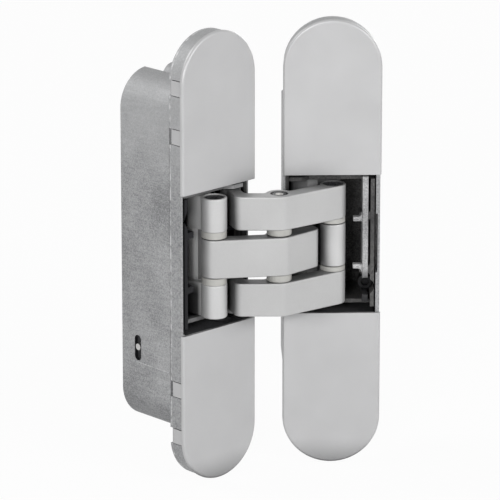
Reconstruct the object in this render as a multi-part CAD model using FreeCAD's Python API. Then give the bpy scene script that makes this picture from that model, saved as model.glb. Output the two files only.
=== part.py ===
import FreeCAD, Part
import math
import os

# Concealed door hinge, adjustable in three directions, drawn at 138 degrees of opening.
# All sizes are in millimetres. Each body is drawn in its own body frame: X towards the other body,
# Y into the door frame or door leaf from the cover's face, Z up, with z = 0 at half height.
# The leaf body is the mirror image of the frame body about the plane through the centre pin.

# Body outline
face_height = 150.0
face_width = 32.0
opening_deg = 138.0
cover_lip = 0.3
cover_thickness = 1.2
cover_edge_round = 0.8
cover_inner_z = 23.45
flange_depth = 6.8
body_depth = 30.0
box_end_inset = 16.0
box_corner_radius = 12.0
box_step = 0.15
box_crest_inset = 11.0
box_slope_deg = 36.0
groove_width = 0.35
groove_depth = 0.3

# Pocket in the body
outer_wall = 1.4
outer_wall_thin = 0.7
thin_half_height = 10.0
hinge_wall = 1.65
hinge_wall_front = 3.3
relief_wall = 0.65
relief_gap = 0.3
relief_back = 17.3
pocket_half_height = 38.5
back_wall = 1.2
mouth_step = 0.35

# Cover clips and their recesses in the flange's sides, measured from the face's ends
clip_inset_inner = 32.8
clip_inset_outer = 16.8
clip_height = 4.9
clip_thickness = 0.9
clip_end_gap = 1.35
recess_clearance = 0.25

# Fixing screw holes, their countersinks and the boss behind the flange
fixing_hole_inset = 8.5
fixing_hole_radius = 2.6
countersink_radius = 5.0
countersink_depth = 2.6
boss_inset = 2.6
boss_radius = 4.6
boss_end = 22.0

# Slot in the housing's side with its guide pin
slot_y = 22.5
slot_width = 3.2
slot_inner_reach = 4.1
slot_outer_reach = 4.6
slot_floor = 0.5
guide_pin_radius = 1.1
guide_pin_z = 32.0
guide_pin_recess = 0.25

# Heights of the arm levels, each above and below the mid-plane
middle_half_height = 6.4
middle_knuckle_lip = 0.7
outer_low_z = 8.9
outer_high_z = 20.1
washer_gap = 0.2
level_clearance = 0.35

# Pivots: the distance in from the face's hinge-side edge, and the depth behind the face
knuckle_inset = 16.3
knuckle_depth = 2.3
centre_outset = 1.5
centre_front = 9.4
arm_pivot_inset = 4.6
arm_pivot_depth = 7.0
lever_pivot_inset = 5.5
lever_pivot_depth = 12.5
knuckle_radius = 4.2
centre_radius = 4.6
arm_hub_radius = 3.3
lever_hub_radius = 3.2
knuckle_pin_radius = 2.3
centre_pin_radius = 2.5
pivot_pin_radius = 1.8
pin_chamfer = 0.25
pin_dimple_radius = 1.25
pin_dimple_depth = 0.6
knuckle_head_radius = 3.3
knuckle_head_depth = 1.2
head_recess = 0.3
head_gap = 0.15
centre_ring_gap = 0.4
centre_ring_depth = 0.8
centre_pin_recess = 0.2
washer_inset = 0.1
centre_washer_inset = 0.55
washer_edge_round = 0.25
seat_clearance = 0.02
running_clearance = 0.06

# Arms: the kink is measured from the centre pin, the hook's corner from the hinge-side edge
kink_back = 2.3
kink_front = 4.5
hook_inset = 11.8
hook_front = 3.5
kink_round = 4.0
hook_outer_round = 2.8
hook_inner_round = 1.6
arm_bar_thickness = 5.4
arm_leg_half_width = 2.2
arm_corner_round = 1.0
arm_edge_round = 0.45

# Levers: t runs from the knuckle to the lever's deep pivot, s towards its bulge
lever_web_inner = 4.2
lever_web_outer = 9.3
lever_shoulder_t = 3.5
lever_shoulder_round = 2.5
lever_web_end_t = 10.2
lever_cheek_inner = 0.5
lever_cheek_back = 0.4
lever_neck_t = 5.2
lever_neck_s = 1.0
lever_heel_back = 1.2
lever_heel_drop = 2.2
lever_tip_reach = 1.0
lever_tip_height = 3.04
overlap = 0.02
window_clearance = 2.3
window_level_gap = 0.1
lever_corner_round = 0.6
lever_edge_round = 0.4

# Carrier, the cast frame in the pocket that holds the pivots
carrier_side_gap = 0.4
carrier_hinge_gap = 0.3
carrier_wall = 1.25
carrier_front = 1.5
carrier_floor = 2.0
carrier_back_gap = 0.4
end_plate_thickness = 1.25
end_plate_front = 6.0
inner_plate_gap = 0.4
pivot_lug = 4.2
pivot_lug_front = 3.6
inner_plate_back = 16.4
strip_width = 2.15
strip_lap = 1.0
rib_low_z = 8.1
rib_high_z = 10.1
rib_reach = 4.8
rib_front = 1.9
rib_nose = 0.6
rib_back = 9.0
rib_brace = 3.0
rib_root = 0.5
rib_fillet = 1.2
slide_clearance = 0.3
slide_travel = ((-0.8, 0.8), (0.25, -0.38), (0.95, 0.85))

# Black clamp screw with hexagon socket, on its pad in the carrier
clamp_inset = 2.7
clamp_z = 14.8
clamp_head_radius = 2.5
clamp_head_front = 6.4
clamp_head_depth = 3.4
clamp_head_round = 0.4
clamp_head_gap = 0.3
clamp_socket = 2.5
clamp_socket_depth = 1.8
clamp_shank_radius = 1.5
clamp_pad_depth = 5.0

# Guide blocks above and below the carrier, and their screws
block_gap = 2.9
block_end_gap = 0.3
block_side_gap = 0.3
block_back_gap = 0.1
block_front = 4.0
block_round = 1.0
height_screw_inset = 5.35
height_screw_y = 9.0
height_screw_radius = 3.65
height_screw_tip_radius = 1.0
height_screw_cone = 2.4
height_screw_recess = 2.2
height_screw_socket = 3.0
height_screw_socket_depth = 3.0
block_screw_inset = 9.8
block_screw_head_radius = 4.0
block_screw_head_depth = 2.6
block_screw_socket_depth = 1.6
block_screw_shank_radius = 2.2
block_screw_length = 16.0

# A cutter runs this far past the face that it cuts through
cut_past = 1.0

# Limits that tell edges apart: same height, same foot, shortest upright edge, and a sharp corner
level_limit = 0.01
foot_limit = 0.05
upright_length = 1.0
sharp_deg = 3.0

half_width = face_width / 2
plate_half_width = half_width - cover_lip
plate_half_height = face_height / 2 - cover_lip
box_half_height = face_height / 2 - box_end_inset
fixing_hole_z = face_height / 2 - fixing_hole_inset
boss_z = box_half_height - boss_inset
clip_levels = (face_height / 2 - clip_inset_inner, face_height / 2 - clip_inset_outer)
clip_end = flange_depth - clip_end_gap
pocket_outer_x = -plate_half_width + outer_wall
pocket_hinge_x = plate_half_width - hinge_wall
pocket_back = body_depth - back_wall
pocket_mouth_z = cover_inner_z - mouth_step
knuckle_axis = (half_width - knuckle_inset, knuckle_depth)
centre_axis = (half_width + centre_outset, -centre_front)
arm_axis = (half_width - arm_pivot_inset, arm_pivot_depth)
lever_axis = (half_width - lever_pivot_inset, lever_pivot_depth)
arm_kink = (centre_axis[0] - kink_back, centre_axis[1] - kink_front)
arm_corner = (half_width - hook_inset, -hook_front)
window_radius = knuckle_radius + window_clearance
window_half_height = outer_low_z - window_level_gap
middle_knuckle_half_height = middle_half_height + middle_knuckle_lip
end_plate_low_z = outer_high_z + level_clearance
end_plate_high_z = end_plate_low_z + end_plate_thickness
inner_plate_low_z = middle_half_height + inner_plate_gap
inner_plate_high_z = outer_low_z - inner_plate_gap
carrier_outer_x = pocket_outer_x + carrier_side_gap
carrier_wall_x = carrier_outer_x + carrier_wall
carrier_hinge_x = pocket_hinge_x - carrier_hinge_gap
carrier_floor_back = pocket_back - carrier_back_gap
carrier_floor_front = carrier_floor_back - carrier_floor
rib_end_x = carrier_outer_x + rib_reach
clamp_x = carrier_outer_x + clamp_inset
block_low_z = end_plate_high_z + block_gap
block_high_z = pocket_half_height - block_end_gap
block_screw_z = (block_low_z + block_high_z) / 2
block_screw_x = pocket_outer_x + block_screw_inset
height_screw_x = pocket_hinge_x - height_screw_inset
height_screw_top = block_high_z - height_screw_recess
mirror_angle = math.radians((180.0 - opening_deg) / 2)
mirror_normal = (math.cos(mirror_angle), -math.sin(mirror_angle))


# Vectors in the plan of a body frame
def vec(point, z=0.0):
    return FreeCAD.Vector(point[0], point[1], z)


def plus(point, direction, length):
    return (point[0] + direction[0] * length, point[1] + direction[1] * length)


def minus(a, b):
    return (a[0] - b[0], a[1] - b[1])


def dot(a, b):
    return a[0] * b[0] + a[1] * b[1]


def unit(a):
    length = math.hypot(a[0], a[1])
    return (a[0] / length, a[1] / length)


def left_of(a):
    return (-a[1], a[0])


def turned(a, angle):
    cosine = math.cos(angle)
    sine = math.sin(angle)
    return (a[0] * cosine - a[1] * sine, a[0] * sine + a[1] * cosine)


def mirrored(point):
    away = dot(minus(centre_axis, point), mirror_normal)
    return plus(point, mirror_normal, 2 * away)


def meet(point_a, along_a, point_b, along_b):
    gap = minus(point_b, point_a)
    across = left_of(along_b)
    return plus(point_a, along_a, dot(gap, across) / dot(along_a, across))


# Solids
def box(x_low, x_high, y_low, y_high, z_low, z_high):
    corner = FreeCAD.Vector(x_low, y_low, z_low)
    return Part.makeBox(x_high - x_low, y_high - y_low, z_high - z_low, corner)


def upright(point, radius, z_low, z_high):
    return Part.makeCylinder(radius, z_high - z_low, vec(point, z_low))


def inward(x, z, radius, y_low, y_high):
    start = FreeCAD.Vector(x, y_low, z)
    return Part.makeCylinder(radius, y_high - y_low, start, FreeCAD.Vector(0, 1, 0))


def prism(points, z_low, z_high):
    corners = [vec(point, z_low) for point in points]
    face = Part.Face(Part.makePolygon(corners + corners[:1]))
    return face.extrude(FreeCAD.Vector(0, 0, z_high - z_low))


def stadium(half_w, half_h, y_low, y_high):
    straight = half_h - half_w
    body = box(-half_w, half_w, y_low, y_high, -straight, straight)
    ends = [inward(0, side * straight, half_w, y_low, y_high) for side in (-1, 1)]
    return body.multiFuse(ends).removeSplitter()


def hexagon(x, z, flats, y_low, y_high):
    reach = flats / math.sqrt(3)
    corners = []
    for step in range(7):
        angle = math.radians(60 * step)
        corner = FreeCAD.Vector(x + reach * math.cos(angle), y_low, z + reach * math.sin(angle))
        corners.append(corner)
    face = Part.Face(Part.makePolygon(corners))
    return face.extrude(FreeCAD.Vector(0, y_high - y_low, 0))


def fused(shapes):
    return shapes[0].multiFuse(shapes[1:]).removeSplitter()


def flipped(shape):
    return shape.mirror(FreeCAD.Vector(0, 0, 0), FreeCAD.Vector(0, 0, 1))


def rounded_at(shape, point, radius):
    near = []
    for edge in upright_edges(shape):
        foot = edge.Vertexes[0].Point
        if math.hypot(foot.x - point[0], foot.y - point[1]) < foot_limit:
            near.append(edge)
    return shape.makeFillet(radius, near)


def upright_edges(shape):
    found = []
    for edge in shape.Edges:
        ends = [vertex.Point for vertex in edge.Vertexes]
        if len(ends) == 2 and abs(ends[0].z - ends[1].z) > upright_length:
            found.append(edge)
    return found


def is_sharp(shape, edge):
    point = edge.Vertexes[0].Point
    normals = []
    for face in shape.Faces:
        if any(other.isSame(edge) for other in face.Edges):
            normals.append(face.normalAt(*face.Surface.parameter(point)))
    return len(normals) == 2 and normals[0].getAngle(normals[1]) > math.radians(sharp_deg)


# A cast link has soft corners: its upright edges are rounded first, then its top and bottom rims.
def softened(shape, corner_radius, rim_radius):
    sharp = [edge for edge in upright_edges(shape) if is_sharp(shape, edge)]
    shape = shape.makeFillet(corner_radius, sharp)
    rims = [edge for edge in shape.Edges if edge.BoundBox.ZLength < level_limit]
    return shape.makeFillet(rim_radius, rims)


# The deep box: its outer corners are rounded, and its ends fall away towards the hinge side.
def deep_box():
    half_box = plate_half_width - box_step
    high = box_half_height
    shape = box(-half_box, half_box, flange_depth, body_depth, -high, high)
    corners = []
    for edge in shape.Edges:
        bounds = edge.BoundBox
        if bounds.YLength > upright_length and bounds.ZLength < level_limit:
            corners.append(edge)
    shape = shape.makeFillet(box_corner_radius, corners)
    crest_x = -half_width + box_crest_inset
    far_x = half_width + cut_past
    drop = (far_x - crest_x) * math.tan(math.radians(box_slope_deg))
    slope = []
    for x, z in ((crest_x, high), (far_x, high - drop), (far_x, high + cut_past),
                 (crest_x, high + cut_past)):
        slope.append(FreeCAD.Vector(x, flange_depth, z))
    wedge = Part.Face(Part.makePolygon(slope + slope[:1]))
    wedge = wedge.extrude(FreeCAD.Vector(0, body_depth, 0))
    return shape.cut([wedge, flipped(wedge)])


# A narrow groove parts the flange from the box along each side.
def parting_grooves():
    front = flange_depth - groove_width
    groove_x = plate_half_width - box_step - groove_depth
    end = pocket_half_height + back_wall
    outer_end = box_half_height - box_corner_radius
    return [box(-half_width, -groove_x, front, flange_depth, -outer_end, outer_end),
            box(groove_x, half_width, front, flange_depth, -end, end)]


# The housing is one casting: the face flange, the deep box behind it, and the pocket for the arms.
def housing(with_slot, thin_z):
    flange = stadium(plate_half_width, plate_half_height, cover_thickness, flange_depth)
    bosses = [inward(0, side * boss_z, boss_radius, flange_depth, boss_end) for side in (-1, 1)]
    shape = fused([flange, deep_box()] + bosses)
    pocket_z = pocket_half_height
    pocket = box(pocket_outer_x, pocket_hinge_x, 0.0, pocket_back, -pocket_z, pocket_z)
    thin_x = -plate_half_width + outer_wall_thin
    thin = box(thin_x, pocket_outer_x, 0.0, flange_depth, -thin_z, thin_z)
    mouth_z = pocket_mouth_z
    front = box(pocket_hinge_x, half_width, 0.0, hinge_wall_front, -mouth_z, mouth_z)
    relief_x = plate_half_width - relief_wall
    relief_front = hinge_wall_front + relief_gap
    relief = box(pocket_hinge_x, relief_x, relief_front, relief_back, -end_plate_low_z,
                 end_plate_low_z)
    cuts = [pocket, thin, front, relief] + parting_grooves()
    inner = plate_half_width - clip_thickness - recess_clearance / 2
    for side in (-1, 1):
        cuts.append(inward(0, side * fixing_hole_z, fixing_hole_radius, 0.0, body_depth))
        sink_start = FreeCAD.Vector(0, cover_thickness, side * fixing_hole_z)
        cuts.append(Part.makeCone(countersink_radius, fixing_hole_radius, countersink_depth,
                                  sink_start, FreeCAD.Vector(0, 1, 0)))
        for level in clip_levels:
            low = side * level - clip_height / 2 - recess_clearance
            high = side * level + clip_height / 2 + recess_clearance
            cuts.append(box(inner, half_width, 0.0, flange_depth, low, high))
            cuts.append(box(-half_width, -inner, 0.0, flange_depth, low, high))
    if with_slot:
        cuts.append(side_slot())
    return shape.cut(cuts)


def side_slot():
    end_radius = slot_width / 2
    low = -guide_pin_z - slot_outer_reach + end_radius
    high = -guide_pin_z + slot_inner_reach - end_radius
    across = half_width + pocket_outer_x + slot_floor
    start_x = -half_width
    slot = box(start_x, start_x + across, slot_y - end_radius, slot_y + end_radius, low, high)
    ends = []
    for z in (low, high):
        start = FreeCAD.Vector(start_x, slot_y, z)
        ends.append(Part.makeCylinder(end_radius, across, start, FreeCAD.Vector(1, 0, 0)))
    return slot.multiFuse(ends)


# A cover is a pressed cap with a rounded outer end, a straight inner edge and four clips.
def upper_cover():
    plate = stadium(half_width, face_height / 2, 0.0, cover_thickness)
    keep = box(-half_width, half_width, 0.0, cover_thickness, cover_inner_z, face_height / 2)
    plate = plate.common(keep)
    rim = []
    for edge in plate.Edges:
        bounds = edge.BoundBox
        along_inner_edge = bounds.ZMax < cover_inner_z + level_limit
        if bounds.YMax < level_limit and not along_inner_edge:
            rim.append(edge)
    plate = plate.makeFillet(cover_edge_round, rim)
    clips = []
    outer = plate_half_width
    inner = outer - clip_thickness
    for level in clip_levels:
        low = level - clip_height / 2
        high = level + clip_height / 2
        clips.append(box(inner, outer, cover_thickness / 2, clip_end, low, high))
        clips.append(box(-outer, -inner, cover_thickness / 2, clip_end, low, high))
    return fused([plate] + clips)


# The arm's outline: a straight bar from the far knuckle to the kink at the centre pin, then a hook
# that goes round the housing's front edge and down to the deep pivot.
def arm_outline():
    far = mirrored(knuckle_axis)
    reach = minus(arm_kink, far)
    turn = math.acos(knuckle_radius / math.hypot(reach[0], reach[1]))
    sides = [turned(unit(reach), sign * turn) for sign in (-1, 1)]
    front = max(sides, key=lambda side: dot(side, minus(arm_kink, centre_axis)))
    along = left_of(front)
    start = plus(far, front, knuckle_radius)
    slope = unit(minus(arm_corner, arm_kink))
    slope_in = left_of(slope)
    if dot(slope_in, minus(centre_axis, arm_kink)) < 0:
        slope_in = (-slope_in[0], -slope_in[1])
    leg = unit(minus(arm_axis, plus(arm_corner, (1, 0), arm_leg_half_width)))
    leg_out = left_of(leg)
    if leg_out[0] > 0:
        leg_out = (-leg_out[0], -leg_out[1])
    leg_outer = plus(arm_axis, leg_out, arm_leg_half_width)
    leg_inner = plus(arm_axis, leg_out, -arm_leg_half_width)
    corner = meet(arm_kink, slope, leg_outer, leg)
    bar_back = plus(start, front, -arm_bar_thickness)
    slope_back = plus(arm_kink, slope_in, arm_bar_thickness)
    heel = meet(slope_back, slope, leg_inner, leg)
    waist = meet(bar_back, along, slope_back, slope)
    points = [start, arm_kink, corner, leg_outer, leg_inner, heel, waist, bar_back]
    return points, far, corner, heel


def arm(z_low, z_high):
    points, far, corner, heel = arm_outline()
    blade = prism(points, z_low, z_high)
    blade = rounded_at(blade, arm_kink, kink_round)
    blade = rounded_at(blade, corner, hook_outer_round)
    blade = rounded_at(blade, heel, hook_inner_round)
    bosses = [upright(far, knuckle_radius, z_low, z_high),
              upright(centre_axis, centre_radius, z_low, z_high),
              upright(arm_axis, arm_hub_radius, z_low, z_high)]
    return softened(fused([blade] + bosses), arm_corner_round, arm_edge_round), far


def bored(shape, point, radius, clearance):
    bounds = shape.BoundBox
    low = bounds.ZMin - cut_past
    high = bounds.ZMax + cut_past
    return shape.cut(upright(point, radius + clearance, low, high))


# The pins' heads sit in shallow recesses, and the centre pin's end is ringed by a groove.
def recessed(shape, point, radius, depth):
    return shape.cut(upright(point, radius, outer_high_z - depth, outer_high_z + cut_past))


def upper_arm():
    shape, far = arm(outer_low_z, outer_high_z)
    shape = bored(shape, far, knuckle_pin_radius, seat_clearance)
    shape = bored(shape, centre_axis, centre_pin_radius, seat_clearance)
    shape = bored(shape, arm_axis, pivot_pin_radius, running_clearance)
    shape = recessed(shape, far, knuckle_head_radius + head_gap, knuckle_head_depth + head_recess)
    return recessed(shape, centre_axis, centre_pin_radius + centre_ring_gap, centre_ring_depth)


# The middle arm is the same bar turned round: it is drawn in the leaf body's own frame.
def middle_arm():
    shape, far = arm(-middle_half_height, middle_half_height)
    for point, radius in ((far, knuckle_pin_radius), (centre_axis, centre_pin_radius),
                          (arm_axis, pivot_pin_radius)):
        shape = bored(shape, point, radius, running_clearance)
    return shape


# A lever joins an arm's far knuckle to a sliding pivot deep in the pocket.
def lever_point(t, s):
    along = unit(minus(lever_axis, knuckle_axis))
    bulge = left_of(along)
    return plus(plus(knuckle_axis, along, t), bulge, s)


def lever_outline(points):
    return [lever_point(t, s) for t, s in points]


def lever_length():
    reach = minus(lever_axis, knuckle_axis)
    return math.hypot(reach[0], reach[1])


def lever_cheek(z_low, z_high):
    inner = lever_cheek_inner
    points = [(-lever_cheek_back, knuckle_radius - overlap), (lever_shoulder_t, lever_web_outer),
              (lever_web_end_t, lever_web_outer), (lever_web_end_t, lever_web_inner),
              (lever_shoulder_t, inner), (0.0, inner)]
    cheek = prism(lever_outline(points), z_low, z_high)
    shoulder = lever_point(lever_shoulder_t, lever_web_outer)
    cheek = rounded_at(cheek, shoulder, lever_shoulder_round)
    cheek = fused([cheek, upright(knuckle_axis, knuckle_radius, z_low, z_high)])
    return softened(cheek, lever_corner_round, lever_edge_round)


def lever_web():
    points = [(lever_shoulder_t, lever_web_inner), (lever_shoulder_t, lever_web_outer),
              (lever_web_end_t, lever_web_outer), (lever_web_end_t, lever_web_inner)]
    web = prism(lever_outline(points), -outer_high_z, outer_high_z)
    shoulder = lever_point(lever_shoulder_t, lever_web_outer)
    return rounded_at(web, shoulder, lever_shoulder_round)


def lever_tongue(z_low, z_high):
    end = lever_length()
    hub = lever_hub_radius
    points = [(lever_neck_t, lever_neck_s), (lever_neck_t, lever_web_inner + overlap),
              (lever_web_end_t, lever_web_inner + overlap), (end + lever_tip_reach, lever_tip_height),
              (end, -hub), (lever_web_end_t - lever_heel_back, -lever_heel_drop)]
    tongue = prism(lever_outline(points), z_low, z_high)
    return tongue.fuse(upright(lever_axis, hub, z_low, z_high)).removeSplitter()


def frame_lever():
    parts = [lever_web(), lever_tongue(-middle_half_height, middle_half_height)]
    for low, high in ((outer_low_z, outer_high_z), (-outer_high_z, -outer_low_z)):
        parts.append(lever_cheek(low, high))
    shape = fused(parts)
    window = upright(knuckle_axis, window_radius, -window_half_height, window_half_height)
    seat_radius = knuckle_head_radius + head_gap
    shape = recessed(shape.cut(window), knuckle_axis, seat_radius,
                     knuckle_head_depth + head_recess)
    shape = flipped(recessed(flipped(shape), knuckle_axis, seat_radius,
                             knuckle_head_depth + head_recess))
    shape = bored(shape, knuckle_axis, knuckle_pin_radius, seat_clearance)
    return bored(shape, lever_axis, pivot_pin_radius, seat_clearance)


def leaf_lever():
    knuckle_z = middle_knuckle_half_height
    parts = [lever_web(), lever_cheek(-knuckle_z, knuckle_z)]
    for low, high in ((outer_low_z, outer_high_z), (-outer_high_z, -outer_low_z)):
        parts.append(lever_tongue(low, high))
    shape = fused(parts)
    past = outer_high_z + cut_past
    for low, high in ((knuckle_z, past), (-past, -knuckle_z)):
        shape = shape.cut(upright(knuckle_axis, window_radius, low, high))
    shape = bored(shape, knuckle_axis, knuckle_pin_radius, running_clearance)
    return bored(shape, lever_axis, pivot_pin_radius, seat_clearance)


# Pins, with a short chamfer at each end; those that show have a dimple in each end
def pin(point, radius, z_low, z_high):
    shape = upright(point, radius, z_low, z_high)
    rims = [edge for edge in shape.Edges if edge.BoundBox.ZLength < level_limit]
    return shape.makeChamfer(pin_chamfer, rims)


def dimpled(shape, point):
    bounds = shape.BoundBox
    for z, up in ((bounds.ZMax, -1), (bounds.ZMin, 1)):
        cone = Part.makeCone(pin_dimple_radius, pin_dimple_radius / 2, pin_dimple_depth,
                             vec(point, z), FreeCAD.Vector(0, 0, up))
        shape = shape.cut(cone)
    return shape


def knuckle_pin():
    top = outer_high_z - head_recess
    head = pin(knuckle_axis, knuckle_head_radius, top - knuckle_head_depth, top)
    shank = upright(knuckle_axis, knuckle_pin_radius, -top, top)
    return dimpled(fused([head, shank, flipped(head)]), knuckle_axis)


def washer(point, radius, bore_radius, z_low, z_high):
    ring = upright(point, radius, z_low, z_high)
    rims = [edge for edge in ring.Edges if edge.BoundBox.ZLength < level_limit]
    ring = ring.makeFillet(washer_edge_round, rims)
    return bored(ring, point, bore_radius, running_clearance)


# The arch-shaped slot that a lever's deep pivot pin slides in
def slide_slot(z_low, z_high):
    radius = pivot_pin_radius + slide_clearance
    stops = [(lever_axis[0] + dx, lever_axis[1] + dy) for dx, dy in slide_travel]
    pieces = []
    for start, end in zip(stops, stops[1:]):
        along = unit(minus(end, start))
        side = left_of(along)
        corners = [plus(start, side, radius), plus(end, side, radius),
                   plus(end, side, -radius), plus(start, side, -radius)]
        pieces.append(prism(corners, z_low, z_high))
        pieces.append(upright(start, radius, z_low, z_high))
    pieces.append(upright(stops[-1], radius, z_low, z_high))
    return fused(pieces)


# The carrier is one casting: outer wall, floor, two end plates, two inner plates and the T ribs.
def end_plate(z_low, z_high):
    lug_x = arm_axis[0] - pivot_lug
    points = [(carrier_outer_x, end_plate_front), (lug_x, end_plate_front),
              (arm_axis[0] - pivot_pin_radius, pivot_lug_front), (carrier_hinge_x, pivot_lug_front),
              (carrier_hinge_x, carrier_floor_back), (carrier_outer_x, carrier_floor_back)]
    return prism(points, z_low, z_high)


def carrier(slot_levels, pin_levels, screw_side):
    high = end_plate_high_z
    wall_x = carrier_wall_x
    parts = [box(carrier_outer_x, wall_x, carrier_front, carrier_floor_back, -high, high),
             box(carrier_outer_x, carrier_hinge_x, carrier_floor_front, carrier_floor_back,
                 -high, high)]
    plate_x = arm_axis[0] - pivot_lug
    for side in (-1, 1):
        low_z, high_z = sorted((side * end_plate_low_z, side * end_plate_high_z))
        parts.append(end_plate(low_z, high_z))
        low_z, high_z = sorted((side * inner_plate_low_z, side * inner_plate_high_z))
        parts.append(box(plate_x, carrier_hinge_x, pivot_lug_front, inner_plate_back,
                         low_z, high_z))
        parts.append(box(carrier_hinge_x - strip_width, carrier_hinge_x,
                         inner_plate_back - strip_lap, carrier_floor_back, low_z, high_z))
        low_z, high_z = sorted((side * rib_low_z, side * rib_high_z))
        rib = [(wall_x - rib_root, rib_front), (rib_end_x, rib_front + rib_nose),
               (rib_end_x, rib_back), (wall_x - rib_root, rib_back + rib_brace)]
        parts.append(prism(rib, low_z, high_z))
    pad_z = screw_side * clamp_z
    pad_front = clamp_head_front + clamp_head_depth
    pad_back = pad_front + clamp_pad_depth
    parts.append(inward(clamp_x, pad_z, clamp_head_radius, pad_front, pad_back))
    shape = fused(parts)
    rib_corners = []
    for edge in shape.Edges:
        bounds = edge.BoundBox
        at_wall = max(abs(bounds.XMin - wall_x), abs(bounds.XMax - wall_x)) < level_limit
        at_rib = any(abs(abs(bounds.ZMin) - z) < level_limit and bounds.ZLength < level_limit
                     for z in (rib_low_z, rib_high_z))
        if at_wall and at_rib:
            rib_corners.append(edge)
    shape = shape.makeFillet(rib_fillet, rib_corners)
    seat_radius = clamp_head_radius + clamp_head_gap
    cuts = [inward(clamp_x, pad_z, seat_radius, 0.0, pad_front),
            inward(clamp_x, pad_z, clamp_shank_radius + seat_clearance, 0.0, pad_back + cut_past)]
    for low, top in slot_levels:
        cuts.append(slide_slot(low, top))
    for low, top in pin_levels:
        cuts.append(upright(arm_axis, pivot_pin_radius + seat_clearance, low, top))
    return shape.cut(cuts)


def clamp_screw(screw_side):
    z = screw_side * clamp_z
    back = clamp_head_front + clamp_head_depth
    head = inward(clamp_x, z, clamp_head_radius, clamp_head_front, back)
    front_rim = [edge for edge in head.Edges if edge.BoundBox.YMax < clamp_head_front + level_limit]
    head = head.makeFillet(clamp_head_round, front_rim)
    shank = inward(clamp_x, z, clamp_shank_radius, back, back + clamp_pad_depth)
    socket = hexagon(clamp_x, z, clamp_socket, clamp_head_front - cut_past,
                     clamp_head_front + clamp_socket_depth)
    return head.fuse(shank).cut(socket)


# Guide block above the carrier, with the height screw that bears on the carrier's end plate
def guide_block():
    low_x = pocket_outer_x + block_side_gap
    high_x = pocket_hinge_x - block_side_gap
    back = pocket_back - block_back_gap
    block = box(low_x, high_x, block_front, back, block_low_z, block_high_z)
    uprights = [edge for edge in block.Edges if edge.BoundBox.ZLength > upright_length]
    block = block.makeFillet(block_round, uprights)
    centre = (height_screw_x, height_screw_y)
    cuts = [upright(centre, height_screw_radius + seat_clearance, block_low_z - cut_past,
                    block_high_z + cut_past),
            inward(block_screw_x, block_screw_z, block_screw_head_radius + seat_clearance,
                   0.0, block_front + block_screw_head_depth),
            inward(block_screw_x, block_screw_z, block_screw_shank_radius + seat_clearance,
                   0.0, block_front + block_screw_length + cut_past)]
    return block.cut(cuts)


def height_screw():
    centre = (height_screw_x, height_screw_y)
    cone_top = end_plate_high_z + height_screw_cone
    cone = Part.makeCone(height_screw_tip_radius, height_screw_radius, height_screw_cone,
                         vec(centre, end_plate_high_z))
    stem = upright(centre, height_screw_radius, cone_top, height_screw_top)
    socket = upright(centre, height_screw_socket / 2, height_screw_top - height_screw_socket_depth,
                     height_screw_top + cut_past)
    return cone.fuse(stem).removeSplitter().cut(socket)


def block_screw():
    back = block_front + block_screw_head_depth
    head = inward(block_screw_x, block_screw_z, block_screw_head_radius, block_front, back)
    shank = inward(block_screw_x, block_screw_z, block_screw_shank_radius, back,
                   block_front + block_screw_length)
    socket = hexagon(block_screw_x, block_screw_z, clamp_socket, block_front - cut_past,
                     block_front + block_screw_socket_depth)
    return head.fuse(shank).removeSplitter().cut(socket)


def guide_pin():
    start_x = -plate_half_width + guide_pin_recess
    length = pocket_outer_x + block_side_gap - start_x
    start = FreeCAD.Vector(start_x, slot_y, -guide_pin_z)
    return Part.makeCylinder(guide_pin_radius, length, start, FreeCAD.Vector(1, 0, 0))


# The assembly. The origin is the middle of the frame housing's two fixing holes, in the plane of
# the flange's back, so everything moves forward by the flange's depth.
def in_frame(shape):
    return shape.translated(FreeCAD.Vector(0, -flange_depth, 0))


def in_leaf(shape):
    return in_frame(shape.mirror(vec(centre_axis), vec(mirror_normal)))


def write(name, shape):
    solids = shape.Solids
    whole = solids[0] if len(solids) == 1 else Part.makeCompound(solids)
    if not whole.isValid() or not solids:
        raise ValueError(name + " is not a valid solid")
    whole.exportStep(os.path.join("parts", name + ".step"))
    print(name, len(solids), round(whole.Volume, 1))


os.makedirs("parts", exist_ok=True)

cover = upper_cover()
write("frame_housing", in_frame(housing(True, pocket_mouth_z)))
write("leaf_housing", in_leaf(housing(False, thin_half_height)))
write("frame_upper_cover", in_frame(cover))
write("frame_lower_cover", in_frame(flipped(cover)))
write("leaf_upper_cover", in_leaf(cover))
write("leaf_lower_cover", in_leaf(flipped(cover)))

inner_low = inner_plate_low_z - washer_gap
inner_high = inner_plate_high_z + washer_gap
end_high = end_plate_high_z + washer_gap
inner_levels = ((inner_low, inner_high), (-inner_high, -inner_low))
all_levels = ((inner_low, end_high), (-end_high, -inner_low))
write("frame_carrier", in_frame(carrier(inner_levels, all_levels, 1)))
write("leaf_carrier", in_leaf(carrier(all_levels, inner_levels, -1)))

write("upper_arm", in_frame(upper_arm()))
write("lower_arm", in_frame(flipped(upper_arm())))
write("middle_arm", in_leaf(middle_arm()))
write("frame_lever", in_frame(frame_lever()))
write("leaf_lever", in_leaf(leaf_lever()))

centre_top = outer_high_z - centre_pin_recess
centre_pin = dimpled(pin(centre_axis, centre_pin_radius, -centre_top, centre_top), centre_axis)
write("centre_pin", in_frame(centre_pin))
write("frame_knuckle_pin", in_frame(knuckle_pin()))
write("leaf_knuckle_pin", in_leaf(knuckle_pin()))

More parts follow.
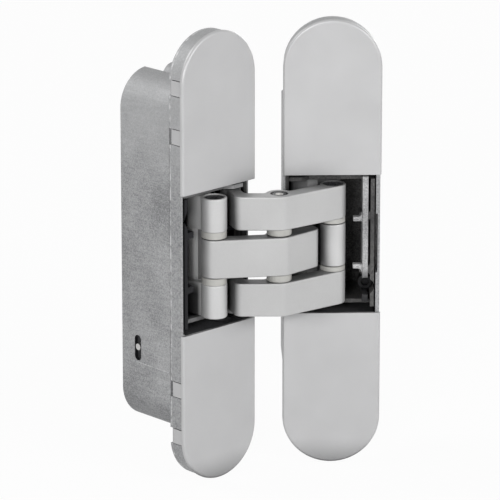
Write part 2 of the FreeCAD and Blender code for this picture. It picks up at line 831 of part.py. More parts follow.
short_pin = pin(arm_axis, pivot_pin_radius, -inner_plate_high_z, inner_plate_high_z)
long_pin = pin(arm_axis, pivot_pin_radius, inner_plate_low_z, end_plate_high_z)
slide_short = pin(lever_axis, pivot_pin_radius, -inner_plate_high_z, inner_plate_high_z)
slide_long = pin(lever_axis, pivot_pin_radius, inner_plate_low_z, end_plate_high_z)
write("frame_upper_arm_pin", in_frame(long_pin))
write("frame_lower_arm_pin", in_frame(flipped(long_pin)))
write("leaf_arm_pin", in_leaf(short_pin))
write("frame_lever_pin", in_frame(slide_short))
write("leaf_upper_lever_pin", in_leaf(slide_long))
write("leaf_lower_lever_pin", in_leaf(flipped(slide_long)))

washer_low_z = middle_half_height + washer_gap
washer_radius = knuckle_radius - washer_inset
frame_washer = washer(knuckle_axis, washer_radius, knuckle_pin_radius, washer_low_z, outer_low_z)
leaf_washer = washer(knuckle_axis, washer_radius, knuckle_pin_radius,
                     middle_knuckle_half_height + washer_gap, outer_low_z)
centre_washer = washer(centre_axis, centre_radius - centre_washer_inset, centre_pin_radius,
                       washer_low_z, outer_low_z)
write("frame_upper_washer", in_frame(frame_washer))
write("frame_lower_washer", in_frame(flipped(frame_washer)))
write("leaf_upper_washer", in_leaf(leaf_washer))
write("leaf_lower_washer", in_leaf(flipped(leaf_washer)))
write("centre_upper_washer", in_frame(centre_washer))
write("centre_lower_washer", in_frame(flipped(centre_washer)))

write("frame_clamp_screw", in_frame(clamp_screw(1)))
write("leaf_clamp_screw", in_leaf(clamp_screw(-1)))
for name, place in (("frame", in_frame), ("leaf", in_leaf)):
    write(name + "_upper_block", place(guide_block()))
    write(name + "_lower_block", place(flipped(guide_block())))
    write(name + "_height_screw", place(height_screw()))
    write(name + "_upper_block_screw", place(block_screw()))
    write(name + "_lower_block_screw", place(flipped(block_screw())))
write("frame_guide_pin", in_frame(guide_pin()))
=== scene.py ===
import bpy
import math
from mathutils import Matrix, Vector


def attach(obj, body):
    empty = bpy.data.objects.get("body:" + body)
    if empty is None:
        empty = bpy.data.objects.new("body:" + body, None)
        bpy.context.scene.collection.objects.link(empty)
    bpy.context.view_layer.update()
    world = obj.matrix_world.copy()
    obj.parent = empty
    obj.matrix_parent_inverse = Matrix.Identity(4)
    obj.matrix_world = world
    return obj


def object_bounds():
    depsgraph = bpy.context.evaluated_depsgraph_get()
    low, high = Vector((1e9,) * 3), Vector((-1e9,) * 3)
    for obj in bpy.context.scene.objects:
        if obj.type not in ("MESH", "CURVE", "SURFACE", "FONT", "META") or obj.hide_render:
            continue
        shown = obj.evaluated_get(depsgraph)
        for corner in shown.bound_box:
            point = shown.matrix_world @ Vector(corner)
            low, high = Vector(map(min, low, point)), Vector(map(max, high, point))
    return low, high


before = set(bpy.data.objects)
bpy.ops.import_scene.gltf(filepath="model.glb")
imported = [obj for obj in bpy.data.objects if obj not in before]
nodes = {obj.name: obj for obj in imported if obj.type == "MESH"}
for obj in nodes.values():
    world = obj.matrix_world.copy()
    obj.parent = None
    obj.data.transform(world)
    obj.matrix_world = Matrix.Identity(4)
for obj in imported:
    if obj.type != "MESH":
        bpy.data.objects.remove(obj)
cad_low, cad_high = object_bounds()
mm = 0.001

# The four cover caps: thin die-cast plates with a satin silver lacquer, clipped over the flanges.
# The lacquer has a fine metallic grain and a faint orange-peel wave, and painted shade darkens its
# corners and gaps.
bpy.ops.object.select_all(action="DESELECT")
flange_depth = 6.8 * mm
leaf_turn = math.radians(42.0)
centre_pin_x = 17.5 * mm
centre_pin_depth = -9.4 * mm
centre_pin_y = centre_pin_depth - flange_depth
cover_light = (0.58, 0.58, 0.585, 1.0)
cover_dark = (0.50, 0.50, 0.505, 1.0)
# Painted shade in corners and gaps: its strength on the covers, its dark colour, and how far it
# reaches.
cover_corner_shade = 0.85
painted_corner_shade = (0.07, 0.07, 0.072, 1.0)
corner_shade_reach = 9.0 * mm
closed_corner = 0.3
peel_height = 0.04 * mm


def new_group(name, inputs, outputs):
    group = bpy.data.node_groups.new(name, "ShaderNodeTree")
    for label, kind in inputs:
        group.interface.new_socket(label, in_out="INPUT", socket_type="NodeSocket" + kind)
    for label, kind in outputs:
        group.interface.new_socket(label, in_out="OUTPUT", socket_type="NodeSocket" + kind)
    start = group.nodes.new("NodeGroupInput")
    end = group.nodes.new("NodeGroupOutput")
    return group, start, end


def put_out(group, end, **values):
    for label, value in values.items():
        group.links.new(value, end.inputs[label])


def maths(tree, operation, first, second=None, third=None):
    node = tree.nodes.new("ShaderNodeMath")
    node.operation = operation
    for socket, value in zip(node.inputs, (first, second, third)):
        if isinstance(value, (int, float)):
            socket.default_value = value
        elif value is not None:
            tree.links.new(value, socket)
    return node.outputs[0]


def weighted_sum(tree, *shares):
    total = 0.0
    for value, share in shares:
        total = maths(tree, "MULTIPLY_ADD", value, share, total)
    return total


def noise(tree, where, scale, detail, roughness):
    node = tree.nodes.new("ShaderNodeTexNoise")
    node.inputs["Scale"].default_value = scale
    node.inputs["Detail"].default_value = detail
    node.inputs["Roughness"].default_value = roughness
    tree.links.new(where, node.inputs["Vector"])
    return node.outputs["Fac"]


def spread(tree, value, low, high, to_low, to_high):
    node = tree.nodes.new("ShaderNodeMapRange")
    node.inputs["From Min"].default_value = low
    node.inputs["From Max"].default_value = high
    node.inputs["To Min"].default_value = to_low
    node.inputs["To Max"].default_value = to_high
    tree.links.new(value, node.inputs["Value"])
    return node.outputs["Result"]


def blend(tree, factor, first, second):
    node = tree.nodes.new("ShaderNodeMix")
    node.data_type = "RGBA"
    tree.links.new(factor, node.inputs["Factor"])
    for label, value in (("A", first), ("B", second)):
        socket = [s for s in node.inputs if s.name == label and s.type == "RGBA"][0]
        if isinstance(value, tuple):
            socket.default_value = value
        else:
            tree.links.new(value, socket)
    return [s for s in node.outputs if s.type == "RGBA"][0]


# Body coordinates: metres in a hinge body's own frame, X to the other body, Y into the wood from
# the cover's face. The leaf body is the mirror image of the frame body about the centre pin.
def body_coordinates(tree, side):
    where = tree.nodes.new("ShaderNodeTexCoord")
    place = tree.nodes.new("ShaderNodeMapping")
    tree.links.new(where.outputs["Object"], place.inputs["Vector"])
    if side == "frame":
        place.inputs["Location"].default_value = (0.0, flange_depth, 0.0)
        return place.outputs["Vector"]
    place.inputs["Scale"].default_value = (-1.0, 1.0, 1.0)
    place.inputs["Rotation"].default_value = (0.0, 0.0, -leaf_turn)
    cosine = math.cos(leaf_turn)
    sine = math.sin(leaf_turn)
    moved_x = -cosine * centre_pin_x + sine * centre_pin_y
    moved_y = sine * centre_pin_x + cosine * centre_pin_y
    place.inputs["Location"].default_value = (centre_pin_x - moved_x,
                                              centre_pin_y - moved_y + flange_depth, 0.0)
    return place.outputs["Vector"]


def new_material(name):
    material = bpy.data.materials.new(name)
    material.use_nodes = True
    tree = material.node_tree
    return material, tree, tree.nodes["Principled BSDF"]


def bump(tree, shader, height, strength, distance):
    node = tree.nodes.new("ShaderNodeBump")
    node.inputs["Strength"].default_value = strength
    node.inputs["Distance"].default_value = distance
    tree.links.new(height, node.inputs["Height"])
    tree.links.new(node.outputs["Normal"], shader.inputs["Normal"])


# Painted shade in the corners and gaps: the colour darkens where little light gets in.
def with_painted_corner_shade(tree, colour, strength):
    corner = tree.nodes.new("ShaderNodeAmbientOcclusion")
    corner.samples = 8
    corner.inputs["Distance"].default_value = corner_shade_reach
    open_air = spread(tree, corner.outputs["AO"], closed_corner, 1.0, 1.0 - strength, 1.0)
    return blend(tree, open_air, painted_corner_shade, colour)


def dress(names, material):
    for name in names:
        piece = nodes[name]
        piece.data.materials.clear()
        piece.data.materials.append(material)


lacquer_grain, grain_in, grain_out = new_group(
    "lacquer_grain", [("Vector", "Vector"), ("Light", "Color"), ("Dark", "Color")],
    [("Color", "Color"), ("Roughness", "Float"), ("Height", "Float")])
grain_where = grain_in.outputs["Vector"]
flakes = noise(lacquer_grain, grain_where, scale=5200.0, detail=2.0, roughness=0.6)
cloud = noise(lacquer_grain, grain_where, scale=60.0, detail=3.0, roughness=0.5)
peel = noise(lacquer_grain, grain_where, scale=900.0, detail=2.0, roughness=0.4)
lacquer_tone = weighted_sum(lacquer_grain, (flakes, 0.6), (cloud, 0.4))
put_out(lacquer_grain, grain_out,
        Color=blend(lacquer_grain, spread(lacquer_grain, lacquer_tone, 0.3, 0.7, 0.0, 1.0),
                    grain_in.outputs["Dark"], grain_in.outputs["Light"]),
        Roughness=spread(lacquer_grain, cloud, 0.3, 0.7, 0.36, 0.46),
        Height=weighted_sum(lacquer_grain, (flakes, 0.35), (peel, 0.65)))


def satin_lacquer(name, side, light, dark, corner_shade_strength):
    material, tree, shader = new_material(name)
    grain = tree.nodes.new("ShaderNodeGroup")
    grain.node_tree = lacquer_grain
    tree.links.new(body_coordinates(tree, side), grain.inputs["Vector"])
    grain.inputs["Light"].default_value = light
    grain.inputs["Dark"].default_value = dark
    tree.links.new(with_painted_corner_shade(tree, grain.outputs["Color"], corner_shade_strength),
                   shader.inputs["Base Color"])
    tree.links.new(grain.outputs["Roughness"], shader.inputs["Roughness"])
    shader.inputs["Metallic"].default_value = 0.25
    shader.inputs["Specular IOR Level"].default_value = 0.25
    bump(tree, shader, grain.outputs["Height"], strength=0.25, distance=peel_height)
    return material


for side in ("frame", "leaf"):
    dress([side + "_upper_cover", side + "_lower_cover"],
          satin_lacquer(side + "_cover_lacquer", side, cover_light, cover_dark, cover_corner_shade))

# The two housings: raw zinc castings, blue-grey and mottled by the tumbling that takes the flash
# off, with painted shade towards the foot and painted light towards the top, a painted highlight
# line near the back edge of the flange, and a mould seam below the side slot drawn as a painted
# highlight. The slot and the pocket are painted dark as shade, with lighter streaks in the pocket
# as painted reflections.
zinc_light = (0.50, 0.503, 0.509, 1.0)
zinc_dark = (0.205, 0.208, 0.214, 1.0)
skin_height = 0.14 * mm
rub_stretch = (1.0, 0.12, 1.0)
rub_slant = math.radians(35.0)
flange_back_y = flange_depth + 0.05 * mm
flange_coarseness = 0.55
foot_painted_shade = (0.11, 0.112, 0.118, 1.0)
foot_shade_strength = 0.38
foot_shade_z = -56.0 * mm
foot_shade_fade_z = -46.0 * mm
top_painted_light_strength = 0.55
top_light_fade_z = 22.0 * mm
top_light_z = 46.0 * mm
painted_edge_highlight = (0.80, 0.80, 0.805, 1.0)
flange_highlight_y = 6.2 * mm
flange_highlight_half = 0.28 * mm
side_face_x = -15.5 * mm
seam_z = -37.2 * mm
seam_half = 0.16 * mm
seam_middle_y = 15.5 * mm
seam_reach_y = 8.0 * mm
slot_middle_x = -13.3 * mm
slot_reach_x = 2.1 * mm
slot_middle_y = 22.5 * mm
slot_reach_y = 1.6 * mm
slot_middle_z = -32.25 * mm
slot_reach_z = 4.4 * mm
pocket_painted_shade = (0.020, 0.020, 0.022, 1.0)
pocket_reflection_streak = (0.11, 0.108, 0.105, 1.0)
streak_stretch = (1.0, 1.0, 0.06)
pocket_middle_x = 0.35 * mm
pocket_reach_x = 14.75 * mm
pocket_reach_z = 38.7 * mm
pocket_floor_y = 28.9 * mm
pocket_lip_y = 0.3 * mm


def stretched(tree, where, scale, turn=0.0):
    node = tree.nodes.new("ShaderNodeMapping")
    node.inputs["Rotation"].default_value = (turn, 0.0, 0.0)
    node.inputs["Scale"].default_value = scale
    tree.links.new(where, node.inputs["Vector"])
    return node.outputs["Vector"]


def axes(tree, where):
    node = tree.nodes.new("ShaderNodeSeparateXYZ")
    tree.links.new(where, node.inputs["Vector"])
    return node.outputs["X"], node.outputs["Y"], node.outputs["Z"]


def near(tree, value, middle, reach):
    return maths(tree, "COMPARE", value, middle, reach)


def overlap(tree, *masks):
    shared = masks[0]
    for mask in masks[1:]:
        shared = maths(tree, "MULTIPLY", shared, mask)
    return shared


def paint_over(tree, mask, paint):
    base = tree.nodes["Principled BSDF"].inputs["Base Color"]
    under = base.links[0].from_socket
    tree.links.new(blend(tree, mask, under, paint), base)


zinc_skin, skin_in, skin_out = new_group(
    "zinc_skin", [("Vector", "Vector"), ("Light", "Color"), ("Dark", "Color")],
    [("Color", "Color"), ("Roughness", "Float"), ("Height", "Float")])
skin_where = skin_in.outputs["Vector"]
speckle = noise(zinc_skin, skin_where, scale=2300.0, detail=3.0, roughness=0.7)
blotch = noise(zinc_skin, skin_where, scale=900.0, detail=3.0, roughness=0.5)
drift = noise(zinc_skin, skin_where, scale=52.0, detail=4.0, roughness=0.55)
rubs = noise(zinc_skin, stretched(zinc_skin, skin_where, rub_stretch, rub_slant),
             scale=1500.0, detail=2.0, roughness=0.5)
mottle = weighted_sum(zinc_skin, (speckle, 0.48), (blotch, 0.12), (drift, 0.28), (rubs, 0.12))
put_out(zinc_skin, skin_out,
        Color=blend(zinc_skin, spread(zinc_skin, mottle, 0.39, 0.61, 0.0, 1.0),
                    skin_in.outputs["Dark"], skin_in.outputs["Light"]),
        Roughness=spread(zinc_skin, mottle, 0.35, 0.65, 0.60, 0.42),
        Height=weighted_sum(zinc_skin, (speckle, 0.6), (blotch, 0.4)))

pocket_shade, shade_in, shade_out = new_group(
    "pocket_shade", [("Vector", "Vector")], [("Mask", "Float")])
shade_x, shade_y, shade_z = axes(pocket_shade, shade_in.outputs["Vector"])
put_out(pocket_shade, shade_out,
        Mask=overlap(pocket_shade,
                     near(pocket_shade, shade_x, pocket_middle_x, pocket_reach_x),
                     near(pocket_shade, shade_z, 0.0, pocket_reach_z),
                     maths(pocket_shade, "GREATER_THAN", shade_y, pocket_lip_y),
                     maths(pocket_shade, "LESS_THAN", shade_y, pocket_floor_y)))


def raw_zinc(name, side, light, dark):
    material, tree, shader = new_material(name)
    skin = tree.nodes.new("ShaderNodeGroup")
    skin.node_tree = zinc_skin
    tree.links.new(body_coordinates(tree, side), skin.inputs["Vector"])
    skin.inputs["Light"].default_value = light
    skin.inputs["Dark"].default_value = dark
    tree.links.new(skin.outputs["Color"], shader.inputs["Base Color"])
    tree.links.new(skin.outputs["Roughness"], shader.inputs["Roughness"])
    shader.inputs["Metallic"].default_value = 0.2
    shader.inputs["Specular IOR Level"].default_value = 0.12
    bump(tree, shader, skin.outputs["Height"], strength=0.6, distance=skin_height)
    return material


# The mould seam is drawn as a painted highlight line, and the inside of the side slot is painted
# dark as shade.
def paint_seam_highlight_and_slot_shade(tree, where, coarse):
    x, y, z = axes(tree, where)
    paint_over(tree, overlap(tree, near(tree, z, seam_z, seam_half),
                             near(tree, y, seam_middle_y, seam_reach_y),
                             maths(tree, "LESS_THAN", x, side_face_x),
                             spread(tree, coarse, 0.2, 0.8, 0.1, 0.55)), painted_edge_highlight)
    paint_over(tree, overlap(tree, near(tree, z, slot_middle_z, slot_reach_z),
                             near(tree, y, slot_middle_y, slot_reach_y),
                             near(tree, x, slot_middle_x, slot_reach_x)), pocket_painted_shade)


# The inside of the pocket is painted dark as shade, with lighter streaks as painted reflections.
def paint_pocket_shade(tree, where):
    shade = tree.nodes.new("ShaderNodeGroup")
    shade.node_tree = pocket_shade
    tree.links.new(where, shade.inputs["Vector"])
    streaks = noise(tree, stretched(tree, where, streak_stretch),
                    scale=700.0, detail=3.0, roughness=0.6)
    shaded_pocket = blend(tree, spread(tree, streaks, 0.42, 0.68, 0.0, 1.0), pocket_painted_shade, pocket_reflection_streak)
    paint_over(tree, shade.outputs["Mask"], shaded_pocket)


def housing_zinc(side):
    material = raw_zinc(side + "_housing_zinc", side, zinc_light, zinc_dark)
    tree = material.node_tree
    where = body_coordinates(tree, side)
    y, z = axes(tree, where)[1:]
    on_flange = maths(tree, "LESS_THAN", y, flange_back_y)
    on_box = maths(tree, "GREATER_THAN", y, flange_back_y)
    coarse = spread(tree, noise(tree, where, scale=1500.0, detail=3.0, roughness=0.75),
                    0.36, 0.64, 0.0, 1.0)
    paint_over(tree, maths(tree, "MULTIPLY", on_flange, flange_coarseness),
               blend(tree, coarse, zinc_dark, zinc_light))
    # Painted shade towards the foot of the box, and painted light towards the top.
    shaded_low = spread(tree, z, foot_shade_z, foot_shade_fade_z, foot_shade_strength, 0.0)
    paint_over(tree, overlap(tree, shaded_low, on_box), foot_painted_shade)
    paint_over(tree, spread(tree, z, top_light_fade_z, top_light_z, 0.0, top_painted_light_strength), zinc_light)
    dots = noise(tree, where, scale=420.0, detail=3.0, roughness=0.6)
    # A painted highlight line near the back edge of the flange.
    paint_over(tree, overlap(tree, near(tree, y, flange_highlight_y, flange_highlight_half),
                             spread(tree, dots, 0.42, 0.58, 0.0, 0.65)), painted_edge_highlight)
    if side == "frame":
        paint_seam_highlight_and_slot_shade(tree, where, coarse)
    paint_pocket_shade(tree, where)
    return material


for side in ("frame", "leaf"):
    dress([side + "_housing"], housing_zinc(side))

# The three arms and the two levers: zinc castings with the covers' lacquer, rounded on every rim.
# The frame lever's lower half, behind its barrel, is painted dark as shade.
arm_light = (0.58, 0.58, 0.58, 1.0)
arm_dark = (0.48, 0.48, 0.48, 1.0)
arm_corner_shade = 0.9
# The levers' lacquer is paler than the arms', as painted light for the pockets' shade they sit in.
lever_brightened_light = (0.66, 0.66, 0.66, 1.0)
lever_brightened_dark = (0.55, 0.55, 0.55, 1.0)
frame_lever_corner_shade = 0.2
leaf_lever_corner_shade = 0.95
# Painted shade on the frame lever's lower half, behind its barrel.
lever_painted_shade = (0.03, 0.03, 0.032, 1.0)
lever_shade_strength = 0.93
barrel_limit = 4.3 * mm
lever_shade_begins = 5.6 * mm
lever_shaded_below_z = -13.0 * mm
lever_unshaded_above_z = -7.5 * mm
frame_knuckle_x = -0.3 * mm
frame_knuckle_y = 2.3 * mm


def distance_from(tree, x, y, centre_x, centre_y):
    off_x = maths(tree, "SUBTRACT", x, centre_x)
    off_y = maths(tree, "SUBTRACT", y, centre_y)
    return maths(tree, "SQRT", maths(tree, "ADD", maths(tree, "MULTIPLY", off_x, off_x),
                                     maths(tree, "MULTIPLY", off_y, off_y)))


def shaded_lever_lacquer():
    material = satin_lacquer("frame_lever_lacquer", "frame", lever_brightened_light, lever_brightened_dark,
                             frame_lever_corner_shade)
    tree = material.node_tree
    x, y, z = axes(tree, body_coordinates(tree, "frame"))
    from_barrel = distance_from(tree, x, y, frame_knuckle_x, frame_knuckle_y)
    behind_barrel = spread(tree, from_barrel, barrel_limit, lever_shade_begins, 0.0, lever_shade_strength)
    low_down = spread(tree, z, lever_shaded_below_z, lever_unshaded_above_z, 1.0, 0.0)
    paint_over(tree, overlap(tree, behind_barrel, low_down), lever_painted_shade)
    return material


dress(["upper_arm", "lower_arm"],
      satin_lacquer("outer_arm_lacquer", "frame", arm_light, arm_dark, arm_corner_shade))
dress(["middle_arm"], satin_lacquer("middle_arm_lacquer", "leaf", arm_light, arm_dark, arm_corner_shade))
dress(["frame_lever"], shaded_lever_lacquer())
dress(["leaf_lever"],
      satin_lacquer("leaf_lever_lacquer", "leaf", lever_brightened_light, lever_brightened_dark, leaf_lever_corner_shade))

# The carriers and guide blocks: plain castings in the pockets, painted dark as the pockets' shade,
# so that only the front edges of the frame carrier's end plates stay lit.
carrier_light = (0.56, 0.56, 0.56, 1.0)
carrier_dark = (0.40, 0.40, 0.405, 1.0)
shaded_carrier_light = (0.15, 0.148, 0.145, 1.0)
shaded_carrier_dark = (0.03, 0.03, 0.032, 1.0)
block_light = (0.10, 0.10, 0.105, 1.0)
block_dark = (0.05, 0.05, 0.052, 1.0)
carrier_lit_front_y = 2.2 * mm
carrier_shade_back_y = 9.0 * mm
end_plate_z = 20.3 * mm
side_wall_x = -12.5 * mm


# Painted shade over the frame carrier, all but the lit front edges of its end plates.
def frame_carrier_zinc():
    material = raw_zinc("frame_carrier_zinc", "frame", carrier_light, carrier_dark)
    tree = material.node_tree
    x, y, z = axes(tree, body_coordinates(tree, "frame"))
    lit_front = overlap(tree, spread(tree, y, carrier_lit_front_y, carrier_shade_back_y, 1.0, 0.0),
                     maths(tree, "GREATER_THAN", maths(tree, "ABSOLUTE", z), end_plate_z),
                     maths(tree, "GREATER_THAN", x, side_wall_x))
    paint_over(tree, maths(tree, "SUBTRACT", 1.0, lit_front), pocket_painted_shade)
    return material


dress(["frame_carrier"], frame_carrier_zinc())
dress(["leaf_carrier"], raw_zinc("leaf_carrier_zinc", "leaf", shaded_carrier_light, shaded_carrier_dark))
for side in ("frame", "leaf"):
    dress([side + "_upper_block", side + "_lower_block"],
          raw_zinc(side + "_block_zinc", side, block_light, block_dark))

# The rail in the leaf's pocket: a bright bar of the carrier's casting in front of its outer wall,
# with two stems towards the knuckle, filleted where they leave the bar, and a round seat for the
# clamp screw. Its foot is painted dark as shade. It is built facing +Y, then turned into the
# leaf body.
rail_outer_x = -11.9 * mm
rail_inner_x = -10.0 * mm
rail_front_y = 1.6 * mm
rail_back_y = 9.0 * mm
rail_top_z = 22.4 * mm
rail_foot_z = -20.1 * mm
rail_edge_round = 0.2 * mm
screw_seat_x = -11.2 * mm
screw_seat_z = -14.8 * mm
screw_seat_radius = 2.9 * mm
screw_seat_facets = 48
stem_root_x = -10.5 * mm
stem_end_x = -7.0 * mm
stem_back_y = 3.9 * mm
stem_low_z = 7.3 * mm
stem_high_z = 8.75 * mm
stem_fillet = 1.7 * mm
close_by = 0.01 * mm
smooth_below = math.radians(40.0)
rail_light = (0.56, 0.56, 0.56, 1.0)
rail_dark = (0.20, 0.20, 0.205, 1.0)
rail_foot_shade_strength = 0.96
rail_shaded_below_z = -13.5 * mm
rail_unshaded_above_z = -8.5 * mm


def cast_bar(name, x_ends, y_ends, z_ends):
    middle = Vector((sum(x_ends) / 2, -sum(y_ends) / 2, sum(z_ends) / 2))
    bpy.ops.mesh.primitive_cube_add(size=1.0, location=middle)
    bar = bpy.context.active_object
    bar.name = name
    bar.scale = (x_ends[1] - x_ends[0], y_ends[1] - y_ends[0], z_ends[1] - z_ends[0])
    bpy.ops.object.transform_apply(location=True, rotation=True, scale=True)
    return bar


def combine(bar, tool, operation):
    change = bar.modifiers.new(operation.lower(), "BOOLEAN")
    change.operation = operation
    change.object = tool
    bpy.ops.object.select_all(action="DESELECT")
    bpy.context.view_layer.objects.active = bar
    bar.select_set(True)
    bpy.ops.object.modifier_apply(modifier=change.name)
    bpy.data.objects.remove(tool)


def bevel_edges(bar, wanted, width, steps):
    bpy.ops.object.mode_set(mode="EDIT")
    bpy.ops.mesh.select_mode(type="EDGE")
    bpy.ops.mesh.select_all(action="DESELECT")
    bpy.ops.object.mode_set(mode="OBJECT")
    points = bar.data.vertices
    for edge in bar.data.edges:
        edge.select = wanted(points[edge.vertices[0]].co, points[edge.vertices[1]].co)
    bpy.ops.object.mode_set(mode="EDIT")
    bpy.ops.mesh.bevel(offset=width, segments=steps, affect="EDGES")
    bpy.ops.object.mode_set(mode="OBJECT")


def is_stem_root(first, second):
    on_inner_face = max(abs(first.x - rail_inner_x), abs(second.x - rail_inner_x)) < close_by
    runs_back = abs(first.z - second.z) < close_by < abs(first.y - second.y)
    from_stem = min(abs(abs(first.z) - stem_low_z), abs(abs(first.z) - stem_high_z))
    return on_inner_face and runs_back and from_stem < close_by


def is_front_edge(first, second):
    return max(abs(first.y + rail_front_y), abs(second.y + rail_front_y)) < close_by


rail = cast_bar("leaf_rail", (rail_outer_x, rail_inner_x), (rail_front_y, rail_back_y),
                (rail_foot_z, rail_top_z))
for stem_z in ((stem_low_z, stem_high_z), (-stem_high_z, -stem_low_z)):
    stem = cast_bar("leaf_rail_stem", (stem_root_x, stem_end_x), (rail_front_y, stem_back_y), stem_z)
    combine(rail, stem, "UNION")
bpy.ops.mesh.primitive_cylinder_add(vertices=screw_seat_facets, radius=screw_seat_radius,
                                    depth=4.0 * rail_back_y,
                                    location=(screw_seat_x, 0.0, screw_seat_z),
                                    rotation=(math.pi / 2, 0.0, 0.0))
screw_seat = bpy.context.active_object
bpy.ops.object.transform_apply(location=True, rotation=True, scale=True)
combine(rail, screw_seat, "DIFFERENCE")
bevel_edges(rail, is_stem_root, stem_fillet, steps=5)
bevel_edges(rail, is_front_edge, rail_edge_round, steps=2)
mirror_reach = (centre_pin_x * math.cos(leaf_turn / 2)
                - centre_pin_depth * math.sin(leaf_turn / 2))
rail.rotation_euler = (0.0, 0.0, math.pi - leaf_turn)
rail.location = (2.0 * mirror_reach * math.cos(leaf_turn / 2),
                 -2.0 * mirror_reach * math.sin(leaf_turn / 2) - flange_depth, 0.0)
bpy.ops.object.transform_apply(location=True, rotation=True, scale=True)
bpy.ops.object.shade_smooth_by_angle(angle=smooth_below)
rail_finish = raw_zinc("leaf_rail_zinc", "leaf", rail_light, rail_dark)
rail_tree = rail_finish.node_tree
rail_height = axes(rail_tree, body_coordinates(rail_tree, "leaf"))[2]
# Painted shade over the rail's foot.
paint_over(rail_tree, spread(rail_tree, rail_height, rail_shaded_below_z, rail_unshaded_above_z,
                             rail_foot_shade_strength, 0.0), pocket_painted_shade)
rail.data.materials.append(rail_finish)
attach(rail, "leaf_body")
bpy.ops.object.select_all(action="DESELECT")

# The pins: turned steel, left bright, with fine rings from the lathe along them. Those in the
# knuckles have a dark oxide, and so has the centre pin but for its bright middle.
steel_light = (0.62, 0.61, 0.59, 1.0)
steel_dark = (0.40, 0.40, 0.40, 1.0)
oxide_light = (0.09, 0.09, 0.095, 1.0)
oxide_dark = (0.035, 0.035, 0.04, 1.0)
bright_steel_metal = 0.9
oxide_metal = 0.6
ring_height = 0.03 * mm
ring_stretch = (1.0, 1.0, 14.0)
bright_middle_radius = 1.3 * mm


def turned_steel(name, light, dark, metal):
    material, tree, shader = new_material(name)
    along_axis = stretched(tree, body_coordinates(tree, "frame"), ring_stretch)
    rings = noise(tree, along_axis, scale=700.0, detail=3.0, roughness=0.6)
    tree.links.new(blend(tree, spread(tree, rings, 0.35, 0.65, 0.0, 1.0), dark, light),
                   shader.inputs["Base Color"])
    tree.links.new(spread(tree, rings, 0.3, 0.7, 0.22, 0.4), shader.inputs["Roughness"])
    shader.inputs["Metallic"].default_value = metal
    bump(tree, shader, rings, strength=0.2, distance=ring_height)
    return material


def centre_pin_steel():
    material = turned_steel("centre_pin_steel", oxide_light, oxide_dark, oxide_metal)
    tree = material.node_tree
    x, y = axes(tree, body_coordinates(tree, "frame"))[:2]
    from_axis = distance_from(tree, x, y, centre_pin_x, centre_pin_depth)
    paint_over(tree, maths(tree, "LESS_THAN", from_axis, bright_middle_radius), steel_light)
    return material


dark_pin = turned_steel("dark_pin_steel", oxide_light, oxide_dark, oxide_metal)
dress(["centre_pin"], centre_pin_steel())
dress(["frame_upper_arm_pin", "frame_lower_arm_pin", "leaf_arm_pin",
       "frame_lever_pin", "leaf_upper_lever_pin", "leaf_lower_lever_pin", "frame_guide_pin"],
      turned_steel("bright_pin_steel", steel_light, steel_dark, bright_steel_metal))
dress(["frame_knuckle_pin", "leaf_knuckle_pin"], dark_pin)

# The bearing washers: moulded off-white plastic between the arms, with a dull sheen.
# They carry the door's weight, so they sit tight between the knuckles.
washer_dark = (0.43, 0.425, 0.40, 1.0)
washer_light = (0.55, 0.545, 0.52, 1.0)
washer_grain_height = 0.03 * mm
washer_finish, washer_tree, washer_shader = new_material("washer_plastic")
washer_where = body_coordinates(washer_tree, "frame")
washer_tone = noise(washer_tree, washer_where, scale=400.0, detail=3.0, roughness=0.5)
washer_tree.links.new(blend(washer_tree, washer_tone, washer_dark, washer_light),
                      washer_shader.inputs["Base Color"])
washer_tree.links.new(spread(washer_tree, washer_tone, 0.3, 0.7, 0.42, 0.55),
                      washer_shader.inputs["Roughness"])
washer_grain = noise(washer_tree, washer_where, scale=2500.0, detail=2.0, roughness=0.5)
bump(washer_tree, washer_shader, washer_grain, strength=0.15, distance=washer_grain_height)
dress(["frame_upper_washer", "frame_lower_washer", "leaf_upper_washer", "leaf_lower_washer",
       "centre_upper_washer", "centre_lower_washer"], washer_finish)

# The screws: hexagon-socket screws with a black oxide, which clamp the carriers and the blocks,
# and dark steel height screws whose cones bear on the carriers.
screw_light = (0.02, 0.02, 0.021, 1.0)
screw_dark = (0.007, 0.007, 0.008, 1.0)
black_screw = turned_steel("black_screw_oxide", screw_light, screw_dark, metal=0.0)
black_screw.node_tree.nodes["Principled BSDF"].inputs["Specular IOR Level"].default_value = 0.12
dress(["frame_clamp_screw", "leaf_clamp_screw", "frame_upper_block_screw",
       "frame_lower_block_screw", "leaf_upper_block_screw", "leaf_lower_block_screw"], black_screw)
dress(["frame_height_screw", "leaf_height_screw"], dark_pin)

# Floor and background: a plain white table, on which the hinge stands upright.
# It is painted matt white; seen by the camera it is nearly shadowless, as in a catalogue.
floor_gap = 0.2 * mm
floor_width = 8.0
floor_glow = 0.95
bpy.ops.mesh.primitive_plane_add(size=floor_width, location=(0.0, 0.0, cad_low[2] - floor_gap))
floor = bpy.context.active_object
floor.name = "floor"
floor_finish, floor_tree, floor_shader = new_material("floor_paint")
floor_shader.inputs["Base Color"].default_value = (0.92, 0.92, 0.92, 1.0)
floor_shader.inputs["Roughness"].default_value = 0.9
floor_light = floor_tree.nodes.new("ShaderNodeEmission")
floor_light.inputs["Strength"].default_value = 1.0
floor_mix = floor_tree.nodes.new("ShaderNodeMixShader")


def seen_or_reflected(tree):
    path = tree.nodes.new("ShaderNodeLightPath")
    reflected = maths(tree, "MAXIMUM", path.outputs["Is Glossy Ray"],
                      path.outputs["Is Transmission Ray"])
    return maths(tree, "MAXIMUM", path.outputs["Is Camera Ray"], reflected)


floor_tree.links.new(maths(floor_tree, "MULTIPLY", seen_or_reflected(floor_tree), floor_glow),
                     floor_mix.inputs["Fac"])
floor_tree.links.new(floor_shader.outputs["BSDF"], floor_mix.inputs[1])
floor_tree.links.new(floor_light.outputs["Emission"], floor_mix.inputs[2])
floor_tree.links.new(floor_mix.outputs["Shader"],
                     floor_tree.nodes["Material Output"].inputs["Surface"])
floor.data.materials.append(floor_finish)

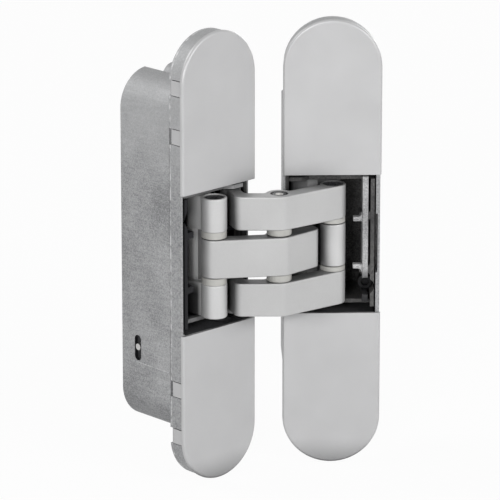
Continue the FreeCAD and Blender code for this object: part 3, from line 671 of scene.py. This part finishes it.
# Studio light: a white surround and soft boxes on the camera's left and right, above, in front and
# behind, so that the faces are even and the sides fall off to a middle grey.
ambient_strength = 0.12
world = bpy.data.worlds.new("studio")
bpy.context.scene.world = world
world.use_nodes = True
world_tree = world.node_tree
surround = world_tree.nodes["Background"]
surround.inputs["Color"].default_value = (1.0, 1.0, 1.0, 1.0)
world_tree.links.new(maths(world_tree, "MAXIMUM", seen_or_reflected(world_tree), ambient_strength),
                     surround.inputs["Strength"])

camera_azimuth = math.radians(-43.5)
camera_elevation = math.radians(16.6)
camera_right = Vector((math.cos(camera_azimuth), math.sin(camera_azimuth), 0.0))
camera_back = Vector((math.sin(camera_azimuth) * math.cos(camera_elevation),
                      -math.cos(camera_azimuth) * math.cos(camera_elevation),
                      math.sin(camera_elevation)))
camera_up = camera_back.cross(camera_right)
between_bodies = Vector((17.0 * mm, -8.0 * mm, 0.0))
left_of_middle = 3.41 * mm
below_middle = 0.59 * mm
look_at = between_bodies - camera_right * left_of_middle - camera_up * below_middle


def soft_box(name, right, up, back, size, power):
    place = look_at + camera_right * right + camera_up * up + camera_back * back
    bpy.ops.object.light_add(type="AREA", location=place)
    lamp = bpy.context.active_object
    lamp.name = name
    lamp.data.shape = "SQUARE"
    lamp.data.size = size
    lamp.data.energy = power
    lamp.rotation_mode = "QUATERNION"
    lamp.rotation_quaternion = (place - look_at).to_track_quat("Z", "Y")


soft_box("left_soft_box", right=-1.0, up=0.85, back=-0.1, size=0.6, power=5.4)
soft_box("right_soft_box", right=0.8, up=0.2, back=0.9, size=0.5, power=5.8)
soft_box("top_soft_box", right=0.1, up=1.2, back=-0.2, size=0.7, power=0.4)
soft_box("front_soft_box", right=-0.25, up=0.0, back=1.2, size=0.3, power=5.6)
soft_box("back_soft_box", right=0.7, up=0.5, back=-1.1, size=0.8, power=6.0)

# Camera: the photograph's view, from the frame body's outer side and a little above, through a
# long lens from more than a metre away.
camera_distance = 1.3
bpy.ops.object.camera_add(location=look_at + camera_back * camera_distance)
camera = bpy.context.active_object
camera.name = "camera"
camera.rotation_mode = "QUATERNION"
camera.rotation_quaternion = camera_back.to_track_quat("Z", "Y")
camera.data.lens = 288.3
camera.data.sensor_width = 36.0
camera.data.clip_start = 0.05
camera.data.clip_end = 50.0
bpy.context.scene.camera = camera
bpy.context.scene.view_settings.view_transform = "Standard"
